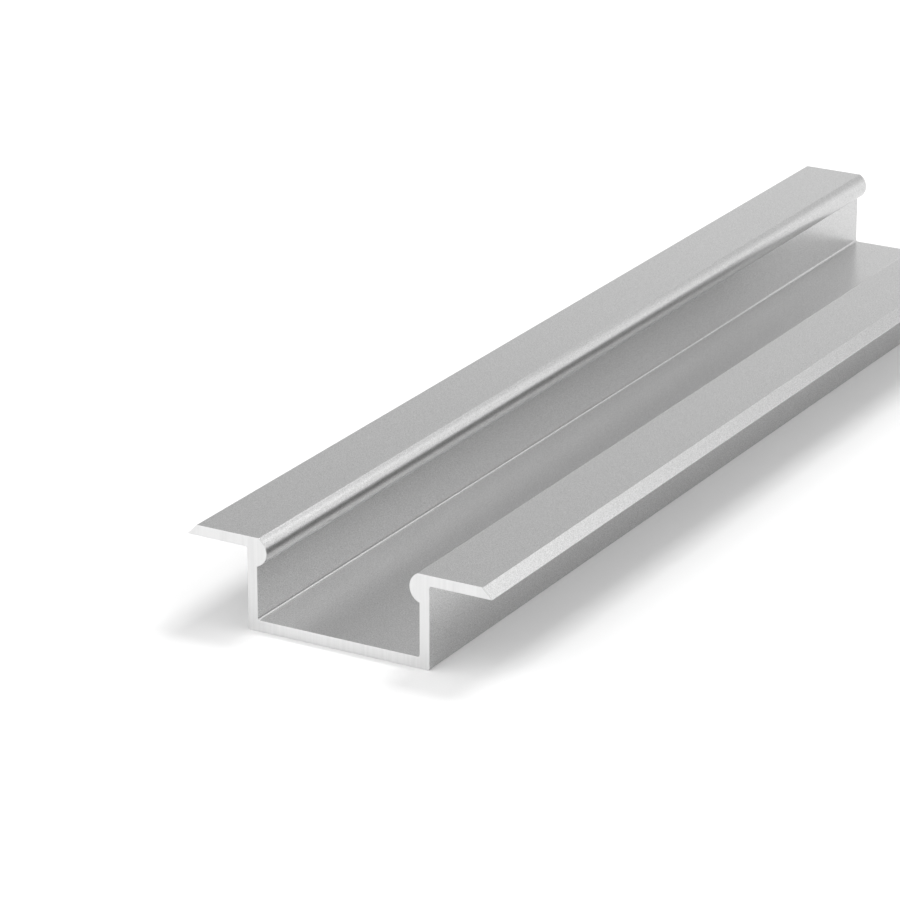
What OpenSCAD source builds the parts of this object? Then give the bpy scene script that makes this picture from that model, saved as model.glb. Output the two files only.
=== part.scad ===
// Recessed aluminium profile for an LED strip.
// One straight extrusion: a shallow channel with a flange each side, which covers the edge of the
// groove that the channel is sunk into. A rounded bead along the inside of each wall holds a
// press-in diffuser.
// The section is drawn once, with X across it and Y as its height, and is then stood up so that
// X runs across the part, Y along it and Z up. The origin is on the base, at mid-width and
// mid-length. Millimetres.

/* [Overall] */
// Length of the cut piece
length = 100; // [30:10:1000]
// Width across both flanges, from tip to tip
overall_w = 24.7; // [20:0.1:32]
// Height from the base to the top of the flanges
height = 7.1; // [6:0.1:12]

/* [Channel] */
// Width across the outsides of the two walls, which fills the groove
channel_w = 14.8; // [12:0.1:18]
// Thickness of each wall
wall_t = 0.8; // [0.6:0.05:1.2]
// Thickness of the floor that the LED strip is stuck to
floor_t = 0.85; // [0.6:0.05:1.5]

/* [Flanges] */
// Thickness of each flange
flange_t = 0.8; // [0.6:0.05:1.2]
// Slope of the bevelled outer edge, from the horizontal, in degrees
bevel_angle = 45; // [30:5:70]
// Height of the blunt strip that is left under the bevel, at the tip
tip_land = 0.05; // [0.05:0.05:0.3]

/* [Snap beads] */
// Radius of the bead's round
bead_r = 1.18; // [1:0.02:1.5]
// How far the bead stands out from the wall, into the channel
bead_proud = 0.8; // [0.4:0.05:1]
// Depth of the round's centre below the flange's top, which cuts off what would stand above it
bead_depth = 1.05; // [0.8:0.05:1.2]

/* [Edges] */
// Fillet radius where the floor and the flanges meet the walls
inner_r = 0.2; // [0.1:0.05:0.5]
// Width of the flat that breaks each of the base's two sharp lower edges
edge_break = 0.1; // [0.05:0.05:0.5]

/* [Hidden] */
$fn = 96;
silver = [0.75, 0.76, 0.77];

// Half widths and levels of the section
tip_x = overall_w / 2;
wall_out_x = channel_w / 2;
wall_in_x = wall_out_x - wall_t;
flange_under = height - flange_t;
// The bevel's width, as seen from above
bevel_w = (flange_t - tip_land) / tan(bevel_angle);
// Centre of the bead's round
bead_x = wall_in_x - bead_proud + bead_r;
bead_y = height - bead_depth;
// How far a fillet reaches into the metal that it joins, so that the two overlap
fillet_root = 0.1;

// The fillet of an inner corner that lies at the origin and opens towards +X and +Y
module fillet() {
    difference() {
        translate([-fillet_root, -fillet_root]) square(inner_r + fillet_root);
        translate([inner_r, inner_r]) circle(inner_r);
    }
}

// The flange, from the middle of the bead out to the tip
module flange() {
    polygon([
        [bead_x, flange_under],
        [tip_x, flange_under],
        [tip_x, flange_under + tip_land],
        [tip_x - bevel_w, height],
        [bead_x, height]
    ]);
}

// The wall, from the base up to the flange
module wall() {
    translate([wall_in_x, 0]) square([wall_t, flange_under]);
}

// The bead, with the parts of its round cut off that would stand above the flange or behind the
// wall
module snap_bead() {
    intersection() {
        translate([bead_x, bead_y]) circle(bead_r);
        square([wall_out_x, height]);
    }
}

// Everything on the right of the section's middle line, apart from the floor
module side() {
    wall();
    flange();
    snap_bead();
    // Fillet between the floor and the wall
    translate([wall_in_x, floor_t]) mirror([1, 0]) fillet();
    // Fillet between the wall and the flange's underside
    translate([wall_out_x, flange_under]) mirror([0, 1]) fillet();
}

// The section of the extrusion
module section() {
    difference() {
        union() {
            translate([-wall_out_x, 0]) square([channel_w, floor_t]);
            side();
            mirror([1, 0]) side();
        }
        // The broken lower edges
        for (edge_x = [-wall_out_x, wall_out_x]) {
            translate([edge_x, 0]) rotate(45) square(edge_break * sqrt(2), center = true);
        }
    }
}

// The cut piece of profile
module profile() {
    color(silver)
        rotate([90, 0, 0])
        linear_extrude(height = length, center = true)
        section();
}

profile();
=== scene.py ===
# %% [markdown]
# A recessed aluminium profile for an LED strip
#
# The object is one straight extrusion: a shallow channel that is sunk into a groove, with a thin
# flange on each side that hides the groove's edge, and a round bead along the inside of each wall
# that a diffuser snaps behind. We load the measured model as a fixed frame first, because the
# later sizes and places are taken from it. Its box is kept, and the section's width, height and
# length come from it.

# %% Load the measured frame
import math

import bmesh
import bpy
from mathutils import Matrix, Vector


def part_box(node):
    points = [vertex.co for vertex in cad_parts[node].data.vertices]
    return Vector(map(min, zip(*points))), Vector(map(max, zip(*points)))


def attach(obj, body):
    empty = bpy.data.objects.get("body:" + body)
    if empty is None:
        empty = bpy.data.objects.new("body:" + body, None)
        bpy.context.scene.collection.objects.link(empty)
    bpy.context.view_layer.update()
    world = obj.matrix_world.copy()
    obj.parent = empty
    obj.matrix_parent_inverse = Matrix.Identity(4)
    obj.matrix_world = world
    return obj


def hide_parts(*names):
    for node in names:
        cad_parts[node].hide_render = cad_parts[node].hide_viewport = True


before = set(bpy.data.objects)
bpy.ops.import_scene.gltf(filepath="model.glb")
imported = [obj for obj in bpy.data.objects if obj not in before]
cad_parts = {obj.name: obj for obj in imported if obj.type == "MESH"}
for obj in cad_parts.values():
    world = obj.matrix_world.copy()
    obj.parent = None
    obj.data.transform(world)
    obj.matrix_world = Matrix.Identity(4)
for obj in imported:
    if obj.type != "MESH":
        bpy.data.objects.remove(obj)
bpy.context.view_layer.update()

low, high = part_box("profile")
print("nodes:", list(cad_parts), "size in mm:", [round(1000 * s, 2) for s in high - low])

# %% [markdown]
# The camera
#
# A photograph fixes four things: where the camera stands, what it looks at, how it is turned and
# how strongly it zooms. The near end and the long edges give all four, because lines that are
# parallel on the object meet in one point of the picture. A long lens from a third of a metre away
# keeps the far end of the profile nearly as wide as the near one, so the perspective stays gentle.

# %% Stand the camera where the photograph was taken from
MM = 0.001
CAMERA_AZIMUTH = math.radians(29.88)  # turned from straight in front towards +X
CAMERA_ELEVATION = math.radians(20.71)
CAMERA_DISTANCE = 340.8 * MM
LOOK_AT = Vector((-12.84, -11.91, 0.04)) * MM
LENS = 173.8


def direction(azimuth, elevation):
    """The unit vector from the middle towards a compass bearing, where bearing 0 is -Y."""
    level = math.cos(elevation)
    return Vector((math.sin(azimuth) * level, -math.cos(azimuth) * level, math.sin(elevation)))


camera_data = bpy.data.cameras.new("camera")
camera_data.lens = LENS
camera_data.clip_start = 10 * MM
camera_data.clip_end = 20.0  # metres, well past the table's edge
camera = bpy.data.objects.new("camera", camera_data)
bpy.context.collection.objects.link(camera)
to_camera = direction(CAMERA_AZIMUTH, CAMERA_ELEVATION)
camera.location = LOOK_AT + to_camera * CAMERA_DISTANCE
camera.rotation_mode = "QUATERNION"
camera.rotation_quaternion = to_camera.to_track_quat("Z", "Y")
bpy.context.scene.camera = camera
print("camera at, in mm:", [round(c / MM, 1) for c in camera.location])

# %% [markdown]
# The section
#
# Everything about an extrusion is in its section: aluminium is pressed through a steel die, and
# whatever shape the die has runs the whole length. So we draw the section once, as a list of points
# that goes round the right half, and mirror it for the left. The overall width and height come from
# the frame. The flange's top cuts the bead's round off before it has turned level, which leaves the
# crisp line that runs between the two. Round stretches are written as arcs with many short steps,
# because the bead works like a curved mirror and a coarse one would show as stripes.

# %% Name the sizes of the section
TIP_X = high.x
TOP_Z = high.z
WALL_OUTSIDE_X = 7.4 * MM
WALL_INSIDE_X = 6.6 * MM
FLOOR_Z = 0.85 * MM
FLANGE_UNDERSIDE_Z = TOP_Z - 0.8 * MM
TIP_LAND = 0.05 * MM
BEAD_RADIUS = 1.18 * MM
BEAD_PROUD = 0.8 * MM
BEAD_DEPTH = 1.05 * MM
INNER_RADIUS = 0.2 * MM
BROKEN_EDGE = 0.1 * MM
ARC_STEP = math.radians(4)

bead_x = WALL_INSIDE_X - BEAD_PROUD + BEAD_RADIUS
bead_z = TOP_Z - BEAD_DEPTH
bevel_width = TOP_Z - FLANGE_UNDERSIDE_Z - TIP_LAND
print("mouth between the beads, in mm:", round(2 * (WALL_INSIDE_X - BEAD_PROUD) / MM, 2))


# %% Draw the right half of the section and mirror it
def arc(centre_x, centre_z, radius, start, end):
    """Points along an arc, in the section's plane, with both ends. Angles are in radians."""
    steps = round(abs(end - start) / ARC_STEP)
    angles = [start + (end - start) * i / steps for i in range(steps + 1)]
    return [(centre_x + radius * math.cos(a), centre_z + radius * math.sin(a)) for a in angles]


def right_half():
    """The outline from the base's edge, round the flange and the bead, to the floor's edge."""
    bead_start = math.pi - math.asin(BEAD_DEPTH / BEAD_RADIUS)
    bead_end = math.tau - math.acos((WALL_INSIDE_X - bead_x) / BEAD_RADIUS)
    base_edge = [(WALL_OUTSIDE_X - BROKEN_EDGE, 0.0), (WALL_OUTSIDE_X, BROKEN_EDGE)]
    under_flange = arc(
        WALL_OUTSIDE_X + INNER_RADIUS, FLANGE_UNDERSIDE_Z - INNER_RADIUS, INNER_RADIUS,
        math.pi, math.pi / 2,
    )
    flange_tip = [
        (TIP_X, FLANGE_UNDERSIDE_Z),
        (TIP_X, FLANGE_UNDERSIDE_Z + TIP_LAND),
        (TIP_X - bevel_width, TOP_Z),
    ]
    bead = arc(bead_x, bead_z, BEAD_RADIUS, bead_start, bead_end)
    floor_corner = arc(
        WALL_INSIDE_X - INNER_RADIUS, FLOOR_Z + INNER_RADIUS, INNER_RADIUS, 0.0, -math.pi / 2
    )
    return base_edge + under_flange + flange_tip + bead + floor_corner


half = right_half()
section = half + [(-x, z) for x, z in reversed(half)]
print("points round the section:", len(section))

# %% [markdown]
# The body
#
# A loft turns the outline into a solid: the same ring of points is placed at several stations along
# the length, and neighbouring rings are joined by faces. A saw leaves the two ends flat, and a
# quick pass with a file breaks their edges. So the outermost rings are drawn slightly smaller, by
# moving each point inwards along its corner, which leaves a fine flat all round each end. It is
# under a tenth of a millimetre wide, and still it catches the light as the real edge does.

# %% Loft the section along the length
FILED_EDGE = 0.03 * MM


def shrunk(outline, amount):
    """The outline with each side moved inwards by amount, with its corners kept sharp."""
    points = [Vector(p) for p in outline]
    moved = []
    for i, here in enumerate(points):
        before = (here - points[i - 1]).normalized()
        after = (points[(i + 1) % len(points)] - here).normalized()
        inward_before = Vector((-before.y, before.x))
        inward_after = Vector((-after.y, after.x))
        share = 1 + inward_before.dot(inward_after)
        moved.append(here + (inward_before + inward_after) * amount / share)
    return moved


def loft(name, stations):
    """A closed mesh through rings of points, one for each (outline, y) station."""
    mesh = bpy.data.meshes.new(name)
    shape = bmesh.new()
    rings = [[shape.verts.new((x, y, z)) for x, z in outline] for outline, y in stations]
    for ring, following in zip(rings, rings[1:]):
        for i, corner in enumerate(ring):
            previous = ring[i - 1]
            shape.faces.new((previous, corner, following[i], following[i - 1]))
    shape.faces.new(list(reversed(rings[0])))
    shape.faces.new(rings[-1])
    bmesh.ops.recalc_face_normals(shape, faces=shape.faces)
    shape.to_mesh(mesh)
    shape.free()
    piece = bpy.data.objects.new(name, mesh)
    bpy.context.collection.objects.link(piece)
    return piece


filed = shrunk(section, FILED_EDGE)
profile = loft(
    "led_profile",
    [
        (filed, low.y),
        (section, low.y + FILED_EDGE),
        (section, high.y - FILED_EDGE),
        (filed, high.y),
    ],
)
print("faces:", len(profile.data.polygons))

# %% [markdown]
# Smooth rounds and crisp corners
#
# Shading is smoothed over the whole mesh, and every edge that turns by more than a set angle is
# marked sharp, so that the bead looks round and the flange's bevel stays crisp. A flat face that
# runs into a round without a corner would pick up part of the round's slope. The Weighted Normal
# modifier prevents that: it lets the larger face decide, so the flats stay perfectly flat.

# %% Shade the mesh
SHARP_FROM = math.radians(20)
profile.data.shade_smooth()
profile.data.set_sharp_from_angle(angle=SHARP_FROM)
weighted = profile.modifiers.new("flat faces decide", "WEIGHTED_NORMAL")
weighted.keep_sharp = True
weighted.weight = 100  # percent, so the largest face decides alone
sharp = profile.data.attributes["sharp_edge"].data
print("sharp edges:", sum(edge.value for edge in sharp))


# %% [markdown]
# Building materials from nodes
#
# Both finishes are node trees, and they share a few habits. A small helper adds a node, sets its
# values and wires its inputs, which keeps each recipe short enough to read. All patterns are
# placed by object coordinates, which are metres on the real part, so a scale of 5000 means a grain
# of a fifth of a millimetre. Noise is built on a lattice, and a flat face that lies along the
# lattice gets more or less of it than its neighbours. So a pattern can also be turned away from all
# faces. Most of a noise's values lie near its middle, so a pattern is made by spreading that middle
# half over the wanted range, and leaving the rare extremes to go a little beyond it.

# %% Start a material and add nodes to it
def add_node(tree, kind, settings=None, values=None, links=None):
    """A new node, with its properties, its input values and the sockets that feed it."""
    node = tree.nodes.new(kind)
    for key, value in (settings or {}).items():
        setattr(node, key, value)
    for key, value in (values or {}).items():
        node.inputs[key].default_value = value
    for key, source in (links or {}).items():
        tree.links.new(source, node.inputs[key])
    return node


def new_material(name):
    """An empty node material and its output node."""
    material = bpy.data.materials.new(name)
    material.use_nodes = True
    tree = material.node_tree
    tree.nodes.clear()
    return material, tree, tree.nodes.new("ShaderNodeOutputMaterial")


print("helpers:", add_node.__name__, new_material.__name__)

# %% Make patterns from noise
NOISE_ROUGHNESS = 0.6  # the share that each finer layer of the noise gets
NOISE_LOW = 0.25
NOISE_HIGH = 0.75


def stretched_noise(tree, coordinates, scale, turn=(0.0, 0.0, 0.0), detail=2.0):
    """Noise that is finer or coarser along each axis. scale is in cells per metre for X, Y, Z."""
    mapping = add_node(
        tree, "ShaderNodeMapping",
        values={"Scale": scale, "Rotation": turn},
        links={"Vector": coordinates},
    )
    return add_node(
        tree, "ShaderNodeTexNoise",
        values={"Scale": 1.0, "Detail": detail, "Roughness": NOISE_ROUGHNESS},
        links={"Vector": mapping.outputs["Vector"]},
    ).outputs["Fac"]


def varied(tree, noise, middle, spread):
    """A value that the noise moves up and down around its middle by spread."""
    return add_node(
        tree, "ShaderNodeMapRange",
        values={
            "From Min": NOISE_LOW, "From Max": NOISE_HIGH,
            "To Min": middle - spread, "To Max": middle + spread,
        },
        links={"Value": noise},
    ).outputs["Result"]


def tinted(tree, colour, brightness):
    """A colour multiplied by a brightness that varies over the surface."""
    return add_node(
        tree, "ShaderNodeVectorMath", {"operation": "SCALE"},
        values={0: colour}, links={"Scale": brightness},
    ).outputs["Vector"]


def bumped(tree, height, strength, depth):
    """The surface's normal, tilted by the slopes of a noise. depth is in metres."""
    return add_node(
        tree, "ShaderNodeBump",
        values={"Strength": strength, "Distance": depth}, links={"Height": height},
    ).outputs["Normal"]


def metal(tree, output, colour, roughness, normal):
    """A metal shader, wired to the material's output."""
    shader = add_node(
        tree, "ShaderNodeBsdfPrincipled",
        values={"Metallic": 1.0},
        links={"Base Color": colour, "Roughness": roughness, "Normal": normal},
    )
    tree.links.new(shader.outputs["BSDF"], output.inputs["Surface"])


print("a noise's values from", NOISE_LOW, "to", NOISE_HIGH, "are spread over the range")

# %% [markdown]
# The satin anodised skin
#
# Before anodising, the extrusion is etched in caustic soda. That dissolves the shine and leaves a
# fine, even, frosted grain, and the clear oxide layer grown over it keeps that look. So the skin
# is a metal with a middling roughness. A fine even noise gives the frosting, in colour and as bump.
# A second noise, stretched along Y, leaves the faintest trace of the die's lines in the colour and
# in the gloss.

# %% Make the anodised skin
SKIN_COLOUR = (0.55, 0.55, 0.55)
SKIN_ROUGHNESS = 0.30
SKIN_BUMP = 0.1
GRAIN = 14000.0  # cells per metre: the frosting is under a tenth of a millimetre across
GRAIN_TURN = (0.6, 0.4, 0.9)
GRAIN_CONTRAST = 0.28
GRAIN_DEPTH = 0.002 * MM
DIE_LINES = (2600.0, 12.0, 2600.0)
DIE_LINE_CONTRAST = 0.01
DIE_LINE_GLOSS = 0.005


def anodised_skin():
    material, tree, output = new_material("satin anodised skin")
    place = add_node(tree, "ShaderNodeTexCoord").outputs["Object"]
    grain = stretched_noise(tree, place, (GRAIN, GRAIN, GRAIN), turn=GRAIN_TURN, detail=1.0)
    lines = stretched_noise(tree, place, DIE_LINES)
    speckle = varied(tree, grain, 1.0, GRAIN_CONTRAST)
    streak = varied(tree, lines, 1.0, DIE_LINE_CONTRAST)
    brightness = add_node(
        tree, "ShaderNodeMath", {"operation": "MULTIPLY"}, links={0: speckle, 1: streak}
    ).outputs["Value"]
    metal(
        tree, output,
        colour=tinted(tree, SKIN_COLOUR, brightness),
        roughness=varied(tree, lines, SKIN_ROUGHNESS, DIE_LINE_GLOSS),
        normal=bumped(tree, grain, SKIN_BUMP, GRAIN_DEPTH),
    )
    return material


skin = anodised_skin()
print("made:", skin.name, "with", len(skin.node_tree.nodes), "nodes")

# %% [markdown]
# The sawn ends
#
# The piece was cut to length after anodising, so its ends show bare metal, which is brighter and
# duller than the grey skin. The saw's teeth leave fine straight marks. A noise that is fine across
# the section and very long along Z draws them, in brightness, in gloss and in bump.

# %% Make the sawn metal
SAWN_COLOUR = (0.75, 0.75, 0.75)
SAWN_ROUGHNESS = 0.55
SAWN_BUMP = 0.2
SAW_MARKS = (3200.0, 3200.0, 90.0)
SAW_MARK_CONTRAST = 0.06
SAW_MARK_GLOSS = 0.04
SAW_MARK_DEPTH = 0.01 * MM


def sawn_metal():
    material, tree, output = new_material("bare sawn metal")
    place = add_node(tree, "ShaderNodeTexCoord").outputs["Object"]
    marks = stretched_noise(tree, place, SAW_MARKS)
    metal(
        tree, output,
        colour=tinted(tree, SAWN_COLOUR, varied(tree, marks, 1.0, SAW_MARK_CONTRAST)),
        roughness=varied(tree, marks, SAWN_ROUGHNESS, SAW_MARK_GLOSS),
        normal=bumped(tree, marks, SAWN_BUMP, SAW_MARK_DEPTH),
    )
    return material


sawn = sawn_metal()
print("made:", sawn.name, "with", len(sawn.node_tree.nodes), "nodes")

# %% [markdown]
# Which face gets which finish
#
# A mesh can hold several materials, and each face carries the number of the one it uses. The faces
# that turn towards an end, flat or filed, are bare metal, and all others are skin. A face's normal
# tells them apart, with no need to count faces.

# %% Dress the profile
SKIN_SLOT = 0
SAWN_SLOT = 1
END_TURN = 0.3  # how far along Y a normal points on the ends and on their filed edges, at least
profile.data.materials.append(skin)
profile.data.materials.append(sawn)
for face in profile.data.polygons:
    turned_to_end = abs(face.normal.y) > END_TURN
    face.material_index = SAWN_SLOT if turned_to_end else SKIN_SLOT
    face.use_smooth = not turned_to_end

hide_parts("profile")
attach(profile, "root")
bare = sum(face.material_index == SAWN_SLOT for face in profile.data.polygons)
print("bare faces:", bare, "of", len(profile.data.polygons))

# %% [markdown]
# The table top
#
# A product picture on white stands on a white sweep. A single large plane does the same here: it is
# so wide that its edge never shows from above. It is plain diffuse white, which keeps the soft
# shadow that tells the eye where the profile stands.

# %% Lay the floor
FLOOR_HALF_WIDTH = 4.0
FLOOR_COLOUR = (0.95, 0.95, 0.95, 1.0)


def white_table():
    material, tree, output = new_material("white table")
    shader = add_node(tree, "ShaderNodeBsdfDiffuse", values={"Color": FLOOR_COLOUR})
    tree.links.new(shader.outputs["BSDF"], output.inputs["Surface"])
    return material


def table_top():
    shape = bmesh.new()
    bmesh.ops.create_grid(shape, x_segments=1, y_segments=1, size=FLOOR_HALF_WIDTH)
    mesh = bpy.data.meshes.new("table_top")
    shape.to_mesh(mesh)
    shape.free()
    plane = bpy.data.objects.new("table_top", mesh)
    plane.data.materials.append(white_table())
    bpy.context.collection.objects.link(plane)
    return plane


table = table_top()
print("table, in m:", 2 * FLOOR_HALF_WIDTH)

# %% [markdown]
# Light
#
# Metal shows its surroundings rather than its own colour, so lighting it means arranging what it
# reflects. From this camera every long face mirrors a direction behind the profile: the bead and
# the bevel show the key and the high lamp there as bright bands, and a card close behind gives the
# flanges their slow fade along the length. The sawn end and the shadow's left side get their light
# from two soft fills on the left. A white room, a little darker than a white wall, does the rest.
# The key is wide rather than strong, because the flanges' tops mirror it in a view from the left,
# and a stronger one would wash them out. Each lamp stands at a bearing and a height, faces the
# profile, and is hidden from the camera so that only its light is in the picture.

# %% Hang the lamps
STUDIO_RADIUS = 1.2
CARD_DISTANCE = 0.22


def soft_lamp(name, azimuth, elevation, spread, tall, radiance, distance=STUDIO_RADIUS):
    """A soft lamp that faces the profile, all angles in degrees as the profile sees them.

    radiance is how bright the lamp looks, where 1 is the brightness of a white wall.
    """
    light = bpy.data.lights.new(name, "AREA")
    light.shape = "RECTANGLE"
    light.size = 2 * distance * math.tan(math.radians(spread / 2))
    light.size_y = 2 * distance * math.tan(math.radians(tall / 2))
    light.energy = radiance * math.pi * light.size * light.size_y
    lamp = bpy.data.objects.new(name, light)
    bpy.context.collection.objects.link(lamp)
    towards = direction(math.radians(azimuth), math.radians(elevation))
    lamp.location = towards * distance
    lamp.rotation_mode = "QUATERNION"
    lamp.rotation_quaternion = towards.to_track_quat("Z", "Y")
    lamp.visible_camera = False
    return lamp


lamps = [
    soft_lamp("key, behind on the right", 120, 40, 60, 30, 1.38),
    soft_lamp("high behind", 175, 60, 22, 18, 9.8),
    soft_lamp("low behind on the right", 135, 10, 45, 20, 0.71),
    soft_lamp("low fill on the left", 315, 10, 80, 20, 1.0),
    soft_lamp("high fill on the left", 315, 50, 60, 40, 1.1),
    soft_lamp("card close behind", 200, 12, 50, 20, 0.36, CARD_DISTANCE),
]
print("lamps:", [lamp.name for lamp in lamps])


# %% Paint the room
ROOM_BRIGHTNESS = 0.61  # of a white wall


def white_room():
    world = bpy.data.worlds.new("white room")
    world.use_nodes = True
    background = world.node_tree.nodes["Background"]
    background.inputs["Color"].default_value = (1.0, 1.0, 1.0, 1.0)
    background.inputs["Strength"].default_value = ROOM_BRIGHTNESS
    return world


bpy.context.scene.world = white_room()
bpy.context.scene.view_settings.view_transform = "Standard"
print("room brightness:", ROOM_BRIGHTNESS)
